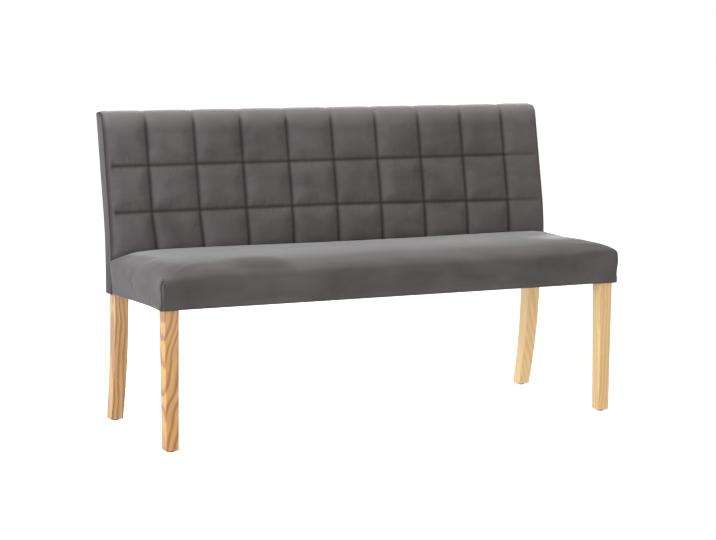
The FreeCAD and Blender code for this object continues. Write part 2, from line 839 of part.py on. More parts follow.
fixings = [leg_fixing(rail_middle + leg_bolt_spacing * part) for part in (-0.5, 0.5)]
leg_bolts, leg_washers, leg_inserts, leg_holes = [both_sides(shapes) for shapes in zip(*fixings)]
add_group("seat_to_leg_bolts", leg_bolts)
add_group("seat_to_leg_washers", leg_washers)
add_group("rear_leg_inserts", leg_inserts)
drill(left_and_right("rear_leg"), leg_inserts)
drill(["seat_to_leg_washers", "rear_leg_inserts"] + left_and_right("rear_leg"), leg_bolts)
drill(["seat_rear_rail", "seat_cover", "back_cover_apron"], leg_holes)

# Move the bench so that the origin is below the middle of its box
front_most = seat_front - seat_bulge
rear_most = lean_point(-rear_cover_outer, crown_run + cover_thickness)[0]
to_origin = point(0, -(front_most + rear_most) / 2, 0)

os.makedirs("parts", exist_ok=True)
for name, shape in pieces.items():
    solids = shape.Solids
    piece = solids[0] if len(solids) == 1 else Part.makeCompound(solids)
    piece = piece.translated(to_origin)
    piece.exportStep("parts/" + name + ".step")
print(len(pieces), "nodes; moved by", to_origin.y)
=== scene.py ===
import bmesh
import bpy
import json
import math
from mathutils import Matrix, Vector, noise


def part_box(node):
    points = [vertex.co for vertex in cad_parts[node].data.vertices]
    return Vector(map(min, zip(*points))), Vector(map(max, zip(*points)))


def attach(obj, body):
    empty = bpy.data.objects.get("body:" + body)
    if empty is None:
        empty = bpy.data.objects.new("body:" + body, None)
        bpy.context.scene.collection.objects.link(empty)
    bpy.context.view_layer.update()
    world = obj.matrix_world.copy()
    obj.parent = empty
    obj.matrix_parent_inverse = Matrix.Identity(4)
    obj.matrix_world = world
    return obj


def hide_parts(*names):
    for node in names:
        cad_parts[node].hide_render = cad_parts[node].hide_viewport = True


# Upholstered bench: quilted velvet back, crowned velvet seat, pale timber legs.
# Metres, +Z up, the front faces -Y.

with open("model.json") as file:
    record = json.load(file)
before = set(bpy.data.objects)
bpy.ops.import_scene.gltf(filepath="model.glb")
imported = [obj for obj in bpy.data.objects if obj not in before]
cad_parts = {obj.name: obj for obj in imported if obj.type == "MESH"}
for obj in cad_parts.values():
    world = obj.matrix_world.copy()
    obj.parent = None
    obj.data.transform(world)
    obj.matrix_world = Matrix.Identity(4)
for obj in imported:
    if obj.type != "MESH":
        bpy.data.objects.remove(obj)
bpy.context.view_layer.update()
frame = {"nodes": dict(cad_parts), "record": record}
nodes = frame["nodes"]
scene = bpy.context.scene
hair = 1e-5  # places nearer to each other than this are the same
print("stage: frame loaded with", len(nodes), "nodes")


# small helpers for materials

def newMaterial(name):
    material = bpy.data.materials.new(name)
    material.use_nodes = True
    return material, material.node_tree, material.node_tree.nodes["Principled BSDF"]


def addNode(tree, kind, values=None, **settings):
    node = tree.nodes.new(kind)
    for key, value in settings.items():
        setattr(node, key, value)
    for key, value in (values or {}).items():
        node.inputs[key].default_value = value
    return node


# a shader group: a place and a few numbers in, numbers out
def newGroup(name, numbers, outputs):
    group = bpy.data.node_groups.new(name, "ShaderNodeTree")
    group.interface.new_socket("Vector", in_out="INPUT", socket_type="NodeSocketVector")
    for label, value in numbers.items():
        socket = group.interface.new_socket(label, in_out="INPUT", socket_type="NodeSocketFloat")
        socket.default_value = value
    for label in outputs:
        group.interface.new_socket(label, in_out="OUTPUT", socket_type="NodeSocketFloat")
    return group, group.nodes.new("NodeGroupInput"), group.nodes.new("NodeGroupOutput")


def colourRamp(tree, value, places):
    ramp = tree.nodes.new("ShaderNodeValToRGB")
    elements = ramp.color_ramp.elements
    while len(elements) < len(places):
        elements.new(0.5)
    for element, (place, colour) in zip(elements, places):
        element.position = place
        element.color = (*colour, 1)
    tree.links.new(value, ramp.inputs["Fac"])
    return ramp.outputs["Color"]


# a noise on a vector, in a space that is first stretched where `stretch` is given
def addNoise(tree, vector, values, stretch=None):
    if stretch:
        space = addNode(tree, "ShaderNodeVectorMath", {1: stretch}, operation="MULTIPLY")
        tree.links.new(vector, space.inputs[0])
        vector = space.outputs[0]
    texture = addNode(tree, "ShaderNodeTexNoise", values)
    tree.links.new(vector, texture.inputs["Vector"])
    return texture


# a colour mix, whose factor and colours are sockets or plain values
def mixColour(tree, blend, factor, under, over):
    node = addNode(tree, "ShaderNodeMix", data_type="RGBA", blend_type=blend)
    for place, value in ((0, factor), (6, under), (7, over)):
        if isinstance(value, bpy.types.NodeSocket):
            tree.links.new(value, node.inputs[place])
        else:
            node.inputs[place].default_value = value
    return node.outputs[2]


def spreadRoughness(tree, shader, value, low, high):
    rough = addNode(tree, "ShaderNodeMapRange", {"To Min": low, "To Max": high})
    tree.links.new(value, rough.inputs["Value"])
    tree.links.new(rough.outputs["Result"], shader.inputs["Roughness"])


# bumps on top of each other, each a height with its (strength, distance)
def layBumps(tree, shader, *bumps):
    normal = None
    for height, (strength, distance) in bumps:
        bump = addNode(tree, "ShaderNodeBump", {"Strength": strength, "Distance": distance})
        tree.links.new(height, bump.inputs["Height"])
        if normal is not None:
            tree.links.new(normal, bump.inputs["Normal"])
        normal = bump.outputs["Normal"]
    tree.links.new(normal, shader.inputs["Normal"])


# velvet: cloudy nap, brushed strokes and short pile

velvetLook = {
    "dark": (0.066, 0.0555, 0.0555),
    "light": (0.106, 0.091, 0.091),
    # dark colour for the seam lines and for all painted shade
    "seam": (0.026, 0.019, 0.0185),
    "paintedHighlight": (0.175, 0.157, 0.153),  # painted highlight colour, laid on the back's top and the seat's right rear edge
    "speckle": 0.22,
    "roughness": (0.78, 0.95),
    "specular": 0.12,
    "sheen": 0.44,
    "sheenRoughness": 0.40,
    "sheenTint": (0.62, 0.60, 0.595),
    "cloudScale": 5.0,
    "strokeScale": 14.0,
    "strokeStretch": (0.35, 1.0, 0.8),
    "strokeShare": 0.45,
    "napRange": (0.34, 0.66),
    "pileScale": 1500.0,
    "napBump": (0.5, 0.0006),
    "pileBump": (0.6, 0.00022),
}


def makeNapGroup():
    group, inside, outside = newGroup("brushedNap", {
        "Cloud Scale": velvetLook["cloudScale"],
        "Stroke Scale": velvetLook["strokeScale"],
        "Pile Scale": velvetLook["pileScale"],
    }, ["Nap", "Pile"])
    link = group.links.new
    place = inside.outputs["Vector"]
    clouds = addNoise(group, place, {"Detail": 2.0, "Roughness": 0.55, "Distortion": 0.6})
    strokes = addNoise(group, place, {"Detail": 3.0, "Roughness": 0.6, "Distortion": 0.9},
                       velvetLook["strokeStretch"])
    pile = addNoise(group, place, {"Detail": 1.0, "Roughness": 0.7})
    link(inside.outputs["Cloud Scale"], clouds.inputs["Scale"])
    link(inside.outputs["Stroke Scale"], strokes.inputs["Scale"])
    link(inside.outputs["Pile Scale"], pile.inputs["Scale"])
    both = addNode(group, "ShaderNodeMix", {0: velvetLook["strokeShare"]})
    link(clouds.outputs["Fac"], both.inputs[2])
    link(strokes.outputs["Fac"], both.inputs[3])
    low, high = velvetLook["napRange"]
    spread = addNode(group, "ShaderNodeMapRange", {"From Min": low, "From Max": high})
    link(both.outputs[0], spread.inputs["Value"])
    link(spread.outputs["Result"], outside.inputs["Nap"])
    link(pile.outputs["Fac"], outside.inputs["Pile"])
    return group


napGroup = makeNapGroup()


# seamShade is above 0 at the dark seam lines and where shade is painted, below 0 where a highlight is painted
def makeVelvet():
    material, tree, shader = newMaterial("greyVelvet")
    link = tree.links.new
    coords = addNode(tree, "ShaderNodeTexCoord")
    nap = addNode(tree, "ShaderNodeGroup", node_tree=napGroup)
    link(coords.outputs["Object"], nap.inputs["Vector"])
    seam = addNode(tree, "ShaderNodeAttribute", attribute_name="seamShade")
    paintedHighlights = addNode(tree, "ShaderNodeMapRange", {"From Min": 0.0, "From Max": -1.0})
    link(seam.outputs["Fac"], paintedHighlights.inputs["Value"])
    cloth = colourRamp(tree, nap.outputs["Nap"], [(0.0, velvetLook["dark"]), (1.0, velvetLook["light"])])
    speckled = mixColour(tree, "OVERLAY", velvetLook["speckle"], cloth, nap.outputs["Pile"])
    shaded = mixColour(tree, "MIX", seam.outputs["Fac"], speckled, (*velvetLook["seam"], 1))
    lit = mixColour(tree, "MIX", paintedHighlights.outputs["Result"], shaded, (*velvetLook["paintedHighlight"], 1))
    link(lit, shader.inputs["Base Color"])
    spreadRoughness(tree, shader, nap.outputs["Pile"], *velvetLook["roughness"])
    layBumps(tree, shader, (nap.outputs["Nap"], velvetLook["napBump"]),
             (nap.outputs["Pile"], velvetLook["pileBump"]))
    # the sheen weight carries the painted light too: 0 in the seams and painted shade, twice its value in the
    # painted highlights
    sheen = addNode(tree, "ShaderNodeMapRange", {"From Min": -1.0, "From Max": 1.0,
                                                 "To Min": 2 * velvetLook["sheen"], "To Max": 0.0})
    link(seam.outputs["Fac"], sheen.inputs["Value"])
    link(sheen.outputs["Result"], shader.inputs["Sheen Weight"])
    shader.inputs["Sheen Roughness"].default_value = velvetLook["sheenRoughness"]
    shader.inputs["Sheen Tint"].default_value = (*velvetLook["sheenTint"], 1)
    shader.inputs["Specular IOR Level"].default_value = velvetLook["specular"]
    return material


velvet = makeVelvet()


# timber: growth rings round a trunk axis, and fibres along it

timberGrain = {
    "bendScale": (14.0, 14.0, 6.0),
    "fibreScale": (900.0, 900.0, 16.0),
    "toneScale": (55.0, 55.0, 3.0),
    "yearStart": (0.0, 0.35),  # a year's growth and its darkness, up to the dark late wood
    "yearEnd": (1.0, 0.45),
    "year": ((0.06, 0.05), (0.38, 0.15), (0.64, 0.70), (0.86, 1.0)),
    "middlePlace": 0.45,
    "fibreMix": 0.45,
    "toneMix": 0.35,
    "smoother": 0.08,
    "rougher": 0.10,
    "ringBump": (0.35, 0.0004),
    "poreBump": (0.25, 0.0002),
    "lacquerRoughness": 0.32,
}


def makeTimberGroup():
    group, inside, outside = newGroup("timberRings", {"Ring Spacing": 0.005, "Wobble": 0.008},
                                      ["Rings", "Fibre", "Tone"])
    link = group.links.new
    place = inside.outputs["Vector"]
    bend = addNoise(group, place, {"Scale": 1.0, "Detail": 2.0, "Roughness": 0.45},
                    timberGrain["bendScale"])
    fibre = addNoise(group, place, {"Scale": 1.0, "Detail": 3.0, "Roughness": 0.6},
                     timberGrain["fibreScale"])
    tone = addNoise(group, place, {"Scale": 1.0, "Detail": 2.0}, timberGrain["toneScale"])
    flat = addNode(group, "ShaderNodeVectorMath", {1: (1.0, 1.0, 0.0)}, operation="MULTIPLY")
    radius = addNode(group, "ShaderNodeVectorMath", operation="LENGTH")
    shift = addNode(group, "ShaderNodeMath", operation="MULTIPLY_ADD")
    count = addNode(group, "ShaderNodeMath", operation="DIVIDE")
    cycle = addNode(group, "ShaderNodeMath", operation="FRACT")
    late = addNode(group, "ShaderNodeFloatCurve")
    points = late.mapping.curves[0].points
    points[0].location = timberGrain["yearStart"]
    points[1].location = timberGrain["yearEnd"]
    for point in timberGrain["year"]:
        points.new(*point)
    late.mapping.update()
    link(place, flat.inputs[0])
    link(flat.outputs[0], radius.inputs[0])
    link(bend.outputs["Fac"], shift.inputs[0])
    link(inside.outputs["Wobble"], shift.inputs[1])
    link(radius.outputs["Value"], shift.inputs[2])
    link(shift.outputs[0], count.inputs[0])
    link(inside.outputs["Ring Spacing"], count.inputs[1])
    link(count.outputs[0], cycle.inputs[0])
    link(cycle.outputs[0], late.inputs["Value"])
    link(late.outputs[0], outside.inputs["Rings"])
    link(fibre.outputs["Fac"], outside.inputs["Fibre"])
    link(tone.outputs["Fac"], outside.inputs["Tone"])
    return group


timberGroup = makeTimberGroup()


def makeTimber(name, look):
    material, tree, shader = newMaterial(name)
    link = tree.links.new
    coords = addNode(tree, "ShaderNodeTexCoord")
    tiltX = Matrix.Rotation(math.radians(look["tiltX"]), 3, "X")
    tiltY = Matrix.Rotation(math.radians(look["tiltY"]), 3, "Y")
    turn = tiltX @ tiltY
    place = Vector(look["trunk"]) - turn @ Vector(look["centre"])
    mapping = addNode(tree, "ShaderNodeMapping", {"Location": place, "Rotation": turn.to_euler()})
    timber = addNode(tree, "ShaderNodeGroup", node_tree=timberGroup)
    timber.inputs["Ring Spacing"].default_value = look["spacing"]
    timber.inputs["Wobble"].default_value = look["wobble"]
    link(coords.outputs["Object"], mapping.inputs["Vector"])
    link(mapping.outputs["Vector"], timber.inputs["Vector"])
    rings, fibre = timber.outputs["Rings"], timber.outputs["Fibre"]
    wood = colourRamp(tree, rings, [(0.0, look["light"]), (timberGrain["middlePlace"], look["middle"]),
                                    (1.0, look["dark"])])
    streaked = mixColour(tree, "SOFT_LIGHT", timberGrain["fibreMix"], wood, fibre)
    toned = mixColour(tree, "SOFT_LIGHT", timberGrain["toneMix"], streaked, timber.outputs["Tone"])
    link(toned, shader.inputs["Base Color"])
    spreadRoughness(tree, shader, fibre, look["rough"] - timberGrain["smoother"],
                    look["rough"] + timberGrain["rougher"])
    layBumps(tree, shader, (rings, timberGrain["ringBump"]), (fibre, timberGrain["poreBump"]))
    shader.inputs["Coat Weight"].default_value = look["lacquer"]
    shader.inputs["Coat Roughness"].default_value = timberGrain["lacquerRoughness"]
    return material


def dress(names, material):
    for name in names:
        materials = nodes[name].data.materials
        materials.clear()
        materials.append(material)


# legs: each cut from another place in the trunk, so their grain differs
legTimber = {
    "light": (0.80, 0.53, 0.255),
    "middle": (0.74, 0.46, 0.20),
    "rough": 0.46,
    "lacquer": 0.85,
    "wobble": 0.018,
}
# each leg's colour scale is partly its own tone and partly painted light, set to how brightly that leg is
# lit; the rear right leg's goes above 1 to brighten it in the shade under the seat
legCuts = {
    "front_leg_left": {
        "trunk": (0.12, 0.03, 0.0), "tiltX": 3.0, "tiltY": -13.0, "spacing": 0.019, "wobble": 0.055,
        "toneAndLight": (0.645, 0.47, 0.195), "late": (0.46, 0.21, 0.06),
    },
    "front_leg_right": {
        "trunk": (0.09, 0.06, 0.3), "tiltX": 1.5, "tiltY": -1.0, "spacing": 0.010,
        "toneAndLight": (0.905, 0.88, 0.75), "late": (0.68, 0.42, 0.18),
    },
    "rear_leg_left": {
        "trunk": (-0.07, 0.05, 0.7), "tiltX": -3.0, "tiltY": 1.2, "spacing": 0.014, "wobble": 0.030,
        "toneAndLight": (0.61, 0.49, 0.355), "late": (0.50, 0.25, 0.09),
    },
    "rear_leg_right": {
        "trunk": (0.05, -0.08, 1.1), "tiltX": 3.0, "tiltY": -1.5, "spacing": 0.010,
        "toneAndLight": (1.15, 1.155, 1.11), "late": (0.70, 0.45, 0.20),
    },
}
for legName, cut in legCuts.items():
    low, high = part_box(legName)
    shades = {"light": legTimber["light"], "middle": legTimber["middle"], "dark": cut["late"]}
    tones = {tone: [a * b for a, b in zip(shade, cut["toneAndLight"])] for tone, shade in shades.items()}
    look = {**legTimber, **cut, **tones, "centre": (low + high) / 2}
    dress([legName], makeTimber(legName + "_timber", look))
print("stage: legs dressed")

# hidden frame: planed softwood and plywood
frameTimber = {
    "light": (0.80, 0.64, 0.43), "middle": (0.74, 0.56, 0.35), "dark": (0.60, 0.41, 0.22),
    "rough": 0.72, "lacquer": 0.0, "spacing": 0.006, "wobble": 0.012,
    "trunk": (0.05, 0.12, 0.0), "tiltX": 2.0, "tiltY": 88.0, "centre": (0.0, 0.0, 0.43),
}
plyTimber = {
    **frameTimber,
    "light": (0.82, 0.68, 0.48), "spacing": 0.02, "wobble": 0.05, "trunk": (0.3, 0.02, 0.0),
}
slotOf = {part["node"]: part["material_slot"] for part in frame["record"]["subparts"]}


def inSlot(slot):
    return [name for name in nodes if slotOf[name] == slot]


dress(inSlot("frame_wood"), makeTimber("frameTimber", frameTimber))
dress(inSlot("plywood"), makeTimber("plyTimber", plyTimber))

# fixings, glides and dust cloth: mottled surfaces, each with its own grain size
mottle = {"darkPlace": 0.3, "lightPlace": 0.7, "roughSpread": 0.1, "bumpStrength": 0.4}
steelLook = {
    "dark": (0.42, 0.42, 0.43), "light": (0.62, 0.62, 0.63),
    "scale": 220.0, "rough": 0.38, "bump": 0.0001, "metal": 1.0,
}
glideLook = {
    "dark": (0.030, 0.024, 0.018), "light": (0.06, 0.05, 0.04),
    "scale": 420.0, "rough": 0.5, "bump": 0.0002, "metal": 0.0,
}
dustLook = {
    "dark": (0.012, 0.012, 0.012), "light": (0.04, 0.04, 0.04),
    "scale": 900.0, "rough": 0.85, "bump": 0.0003, "metal": 0.0,
}


def makeMottled(name, look):
    material, tree, shader = newMaterial(name)
    coords = addNode(tree, "ShaderNodeTexCoord")
    values = {"Scale": look["scale"], "Detail": 3.0, "Roughness": 0.6}
    grain = addNoise(tree, coords.outputs["Object"], values).outputs["Fac"]
    colour = colourRamp(tree, grain, [(mottle["darkPlace"], look["dark"]),
                                      (mottle["lightPlace"], look["light"])])
    tree.links.new(colour, shader.inputs["Base Color"])
    spreadRoughness(tree, shader, grain, look["rough"] - mottle["roughSpread"],
                    look["rough"] + mottle["roughSpread"])
    layBumps(tree, shader, (grain, (mottle["bumpStrength"], look["bump"])))
    shader.inputs["Metallic"].default_value = look["metal"]
    return material


dress(inSlot("steel"), makeMottled("zincSteel", steelLook))
dress(inSlot("glide_plastic"), makeMottled("glidePlastic", glideLook))
dustCloth = makeMottled("dustCloth", dustLook)
print("stage: frame, fixings and glides dressed")


# small helpers for cloth pieces

# places from a start through spans, each an end and a count of steps to it
def stops(start, *spans):
    places = [start]
    for end, count in spans:
        begin = places[-1]
        places += [begin + (end - begin) * step / count for step in range(1, count + 1)]
    return places


# a grid, and for each of its points the place on the cloth
def gridMesh(across, along):
    bm = bmesh.new()
    bmesh.ops.create_grid(bm, x_segments=len(across) - 1, y_segments=len(along) - 1, size=1)
    spots = {}
    for vert in bm.verts:
        i = round((vert.co.x + 1) / 2 * (len(across) - 1))
        j = round((vert.co.y + 1) / 2 * (len(along) - 1))
        spots[vert] = (across[i], along[j])
    return bm, spots


def smoothStep(value, low, high):
    share = min(1.0, max(0.0, (value - low) / (high - low)))
    return share * share * (3 - 2 * share)


def finishPiece(name, bm, material):
    bmesh.ops.recalc_face_normals(bm, faces=bm.faces)
    mesh = bpy.data.meshes.new(name)
    bm.to_mesh(mesh)
    bm.free()
    mesh.polygons.foreach_set("use_smooth", [True] * len(mesh.polygons))
    mesh.materials.append(material)
    piece = bpy.data.objects.new(name, mesh)
    scene.collection.objects.link(piece)
    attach(piece, "root")
    return piece


def thicken(piece, thickness):
    wall = piece.modifiers.new("thickness", "SOLIDIFY")
    wall.thickness = thickness
    wall.offset = -1


def shadeAttribute(piece, values):
    layer = piece.data.attributes.new("seamShade", "FLOAT", "POINT")
    layer.data.foreach_set("value", values)


# cloth under pressure, held where it is sewn; each point keeps its share of the travel, up to a cap
def inflate(piece, held, look, shares=None):
    shares = shares or [1.0] * len(piece.data.vertices)
    home = [vert.co.copy() for vert in piece.data.vertices]
    group = piece.vertex_groups.new(name="sewn")
    group.add(held, 1.0, "REPLACE")
    modifier = piece.modifiers.new("cloth", "CLOTH")
    cloth = modifier.settings
    cloth.vertex_group_mass = "sewn"
    cloth.quality = look["quality"]
    cloth.mass = look["mass"]
    cloth.tension_stiffness = look["stiffness"]
    cloth.compression_stiffness = look["stiffness"]
    cloth.shear_stiffness = look["stiffness"] / 2
    cloth.bending_stiffness = look["bending"]
    cloth.use_pressure = True
    cloth.uniform_pressure_force = look["pressure"]
    cloth.shrink_min = look["shrink"]
    cloth.effector_weights.gravity = 0
    modifier.collision_settings.use_collision = False
    modifier.collision_settings.use_self_collision = False
    for step in range(1, look["frames"] + 1):
        scene.frame_set(step)
    evaluated = piece.evaluated_get(bpy.context.evaluated_depsgraph_get())
    moved = [vert.co.copy() for vert in evaluated.data.vertices]
    piece.modifiers.remove(modifier)
    piece.vertex_groups.remove(group)
    for vert, start, end, share in zip(piece.data.vertices, home, moved, shares):
        travel = (end - start) * share
        if travel.length > look["cap"]:
            travel *= look["cap"] / travel.length
        vert.co = start + travel
    scene.frame_set(1)


# the back's path: inner face of the quilted cover, by its length from the start of the bend
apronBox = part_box("back_cover_apron")
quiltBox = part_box("back_quilted_cover")
path = {
    "y": apronBox[1].y,
    "z": apronBox[1].z,
    "hem": apronBox[0].z,
    "half": quiltBox[1].x,
    "bendRadius": 0.765,
    "lean": math.radians(11),
    "crownRun": 0.2939,
    "topRadius": 0.034,
    "depth": 0.0514,
}
bendLength = path["bendRadius"] * path["lean"]
faceLength = bendLength + path["crownRun"] - path["topRadius"]
roundingEnd = faceLength + path["topRadius"] * math.pi / 2
coverEnd = roundingEnd + path["depth"] - path["topRadius"]


def bendPlace(offset, angle):
    radius = path["bendRadius"] + offset
    return path["y"] + path["bendRadius"] - radius * math.cos(angle), path["z"] + radius * math.sin(angle)


def leanPlace(offset, run):
    y, z = bendPlace(offset, path["lean"])
    return y + run * math.sin(path["lean"]), z + run * math.cos(path["lean"])


# a point on the front cover, `rise` outside the path
def onCover(x, length, rise):
    if length <= 0:
        return Vector((x, path["y"] - rise, path["z"] + length))
    if length <= bendLength:
        y, z = bendPlace(rise, length / path["bendRadius"])
    elif length <= faceLength:
        y, z = leanPlace(rise, length - bendLength)
    elif length <= roundingEnd:
        turn = path["lean"] + (length - faceLength) / path["topRadius"]
        y, z = leanPlace(-path["topRadius"], path["crownRun"] - path["topRadius"])
        y -= (path["topRadius"] + rise) * math.cos(turn)
        z += (path["topRadius"] + rise) * math.sin(turn)
    else:
        y, z = leanPlace(-path["topRadius"] - (length - roundingEnd), path["crownRun"] + rise)
    return Vector((x, y, z))


# a point at a depth behind the path, at a length up it, for the sides and the rear
def behindPath(x, depth, length):
    if length <= 0:
        return Vector((x, path["y"] + depth, path["z"] + length))
    if length <= bendLength:
        y, z = bendPlace(-depth, length / path["bendRadius"])
    else:
        y, z = leanPlace(-depth, length - bendLength)
    return Vector((x, y, z))


# quilted front of the back
quilt = {
    "columns": 10,
    "outerColumn": 0.87,  # width of the end columns, as a share of the others
    "row": 0.3388,  # height of the two lower rows, as a share of the face
    "cloth": 0.002,  # outside of the sewn cloth, off the path
    "wall": 0.0016,
    "crown": 0.0095,  # how far the padding rises between the seams
    "roundness": 5.0,
    "cell": 0.0045,
    "apronCells": 6,
    "roundingCells": 14,
    "topCells": 5,
    "topLift": 0.35,  # how much the upright seams fill over the rounded top
    "endRun": 0.025,
    "seamStart": 0.3,  # the level seams start at this share of seamEnd
    "seamEnd": 0.025,
    "seamLift": 0.8,
    "footRun": 0.03,
    "lastColumn": 0.5,  # how much fainter the level seams are in the last column
    "lastRun": 0.03,
    "shoulder": 0.0042,
    "shoulderRun": 0.03,
    "rowSag": 0.011,  # the lower row runs down towards the right end
    "columnDrift": 0.010,  # the foot of the left columns drifts inwards
    "driftFrom": 0.1,
    "driftTo": 0.6,
    "driftEnd": 0.1,
    # painted shade beside the seams: its width, its strength, and extra where seams cross
    "groove": 0.0092,
    "grooveShade": 0.80,
    "crossShade": 0.4,
    "topFade": 0.8,  # how much of the seams' shade goes over the top
    "fadeLow": 0.012,
    "fadeHigh": 0.022,
    "paintedHighlight": 0.72,  # painted highlight along the top
    "paintedHighlightLow": 0.035,
    "paintedHighlightHigh": 0.022,
    "calmRun": 0.045,  # where the simulation fades out below the rounded top
    "sim": {"quality": 5, "mass": 0.25, "stiffness": 12.0, "bending": 0.6, "pressure": 4.0,
            "shrink": -0.006, "frames": 20, "cap": 0.003},
}


def quiltSeams():
    pitch = 2 * path["half"] / (quilt["columns"] - 2 + 2 * quilt["outerColumn"])
    inner = pitch * (quilt["columns"] / 2 - 1)
    between = [pitch * step - inner for step in range(quilt["columns"] - 1)]
    upright = [-path["half"]] + between + [path["half"]]
    level = [0.0, faceLength * quilt["row"], 2 * faceLength * quilt["row"], coverEnd]
    return upright, level


# a place's share of its cell, and its distance to the nearer seam
def cellShare(value, seams):
    for low, high in zip(seams, seams[1:]):
        if low - hair <= value <= high + hair:
            return (value - low) / (high - low), min(value - low, high - value)
    return 0.0, 0.0


def puff(share):
    return 1 - abs(2 * share - 1) ** quilt["roundness"]


def makeQuilt():
    upright, level = quiltSeams()
    cells = [max(1, round((high - low) / quilt["cell"])) for low, high in zip(upright, upright[1:])]
    across = stops(upright[0], *zip(upright[1:], cells))
    rows = round(level[1] / quilt["cell"])
    topRows = round((faceLength - level[2]) / quilt["cell"])
    along = stops(path["hem"] - path["z"], (0.0, quilt["apronCells"]), (level[1], rows), (level[2], rows),
                  (faceLength, topRows), (roundingEnd, quilt["roundingCells"]),
                  (coverEnd, quilt["topCells"]))
    bm, spots = gridMesh(across, along)
    held = []
    shades = []
    shares = []
    for vert, (x, length) in spots.items():
        shareX, gapX = cellShare(x, upright)
        shareS, gapS = cellShare(length, level)
        inset = path["half"] - abs(x)
        end = smoothStep(inset, 0.0, quilt["endRun"])
        sewnEnd = smoothStep(inset, quilt["seamStart"] * quilt["seamEnd"], quilt["seamEnd"])
        sewnEnd *= 1 - quilt["lastColumn"] * smoothStep(x, upright[-2], upright[-2] + quilt["lastRun"])
        # padding between the seams
        puffX, puffS = puff(shareX), puff(shareS)
        over = smoothStep(length, faceLength - quilt["fadeLow"], roundingEnd)
        puffX += (1 - puffX) * quilt["topLift"] * over * end
        unsewn = quilt["seamLift"] * (1 - sewnEnd) * smoothStep(length, 0.0, quilt["footRun"])
        puffS += (1 - puffS) * unsewn
        rise = quilt["crown"] * puffX * puffS if length > 0 else 0.0
        shoulder = smoothStep(length, faceLength - quilt["shoulderRun"], roundingEnd)
        rise -= quilt["shoulder"] * shoulder * puffX
        # seams sewn a little off
        sag = quilt["rowSag"] * max(0.0, x / path["half"])
        sag *= smoothStep(length, 0.0, level[1]) - smoothStep(length, level[1], level[2])
        drift = quilt["columnDrift"] * smoothStep(-x, quilt["driftFrom"], quilt["driftTo"])
        drift *= smoothStep(x + path["half"], 0.0, quilt["driftEnd"])
        drift *= 1 - smoothStep(length, 0.0, level[1])
        vert.co = onCover(x + drift, length - sag, quilt["cloth"] + rise)
        # dark seam lines with painted shade in the grooves, and a painted highlight along the top
        nearX = 1 - smoothStep(gapX, 0.0, quilt["groove"])
        nearS = (1 - smoothStep(gapS, 0.0, quilt["groove"])) * sewnEnd
        fade = smoothStep(length, faceLength - quilt["fadeLow"], faceLength + quilt["fadeHigh"])
        paintedHighlight = smoothStep(length, faceLength - quilt["paintedHighlightLow"], faceLength + quilt["paintedHighlightHigh"])
        shade = max(nearX * (1 - quilt["topFade"] * fade * end), nearS) * quilt["grooveShade"]
        shade += quilt["crossShade"] * nearX * nearS
        shade -= quilt["paintedHighlight"] * paintedHighlight
        shades.append(min(1.0, shade) if length > -hair else 0.0)
        shares.append(1 - smoothStep(length, faceLength - quilt["calmRun"], faceLength))
        if min(gapX, gapS) < hair or length <= 0:
            held.append(vert.index)
    piece = finishPiece("quiltedBack", bm, velvet)
    shadeAttribute(piece, shades)
    inflate(piece, held, quilt["sim"], shares)
    thicken(piece, quilt["wall"])
    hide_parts("back_quilted_cover", "back_cover_apron", "back_foam")


makeQuilt()
print("stage: quilted back made")

# side bands of the back, with the padding under them
band = {
    "outer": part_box("back_side_band_right")[1].x,
    "depth": 0.0534,
    "cloth": 0.0018,
    "lap": 0.002,  # how far it reaches over the edge of the quilted cover
    "hang": 0.009,
    "swell": 0.0012,
    "rollIn": 0.0016,
    "rollWidth": 0.006,
    "depthCells": ((0.002, 3), (0.006, 3), (0.047, 8), (0.0505, 3)),
    "rearCells": 2,
    "heightCells": ((0.02, 4), (0.97, 84), (1.0, 5)),
    # painted shade along the front seam, the rear edge, the fold at the top and the foot beside the seat
    "seam": 0.007,
    "seamShade": 0.9,
    "rearShade": 0.5,
    "fold": 0.016,
    "foldShade": 0.75,
    "footFrom": -0.02,
    "footRun": 0.10,
    "footShade": 0.4,
}


def makeBand(side, name):
    depths = stops(-band["lap"], *band["depthCells"], (band["depth"], band["rearCells"]))
    heights = stops(0.0, *band["heightCells"])
    bm, spots = gridMesh(depths, heights)
    bottom = path["hem"] - path["z"] - band["hang"]
    outer = path["topRadius"] + band["lap"]
    shades = []
    for vert, (depth, share) in spots.items():
        reach = path["topRadius"] - depth
        drop = outer - math.sqrt(max(0.0, outer ** 2 - reach ** 2)) if reach > 0 else 0.0
        top = bendLength + path["crownRun"] + band["lap"] - drop
        length = bottom + (top - bottom) * share
        fromFront = depth + band["lap"]
        fromRear = band["depth"] - depth
        fromTop = (1 - share) * (top - bottom)
        edge = min(fromFront, fromRear, fromTop, share * (top - bottom))
        roll = max(0.0, 1 - edge / band["rollWidth"]) ** 2 * band["rollIn"]
        middle = math.sin(math.pi * min(1, max(0, fromFront / (band["depth"] + band["lap"]))))
        x = side * (band["outer"] - roll + band["swell"] * middle)
        vert.co = behindPath(x, depth, length)
        # painted shade: along the seams, in the top fold and towards the foot
        seam = band["seamShade"] * (1 - smoothStep(fromFront, 0.0, band["seam"]))
        rearEdge = band["rearShade"] * (1 - smoothStep(fromRear, 0.0, band["seam"]))
        topEdge = band["foldShade"] * (1 - smoothStep(fromTop, 0.0, band["fold"]))
        foot = band["footShade"] * (1 - smoothStep(length, band["footFrom"], band["footRun"]))
        shades.append(max(seam, rearEdge, topEdge, foot))
    piece = finishPiece(name, bm, velvet)
    shadeAttribute(piece, shades)
    if side > 0:
        piece.data.flip_normals()
    thicken(piece, band["cloth"])
    return piece


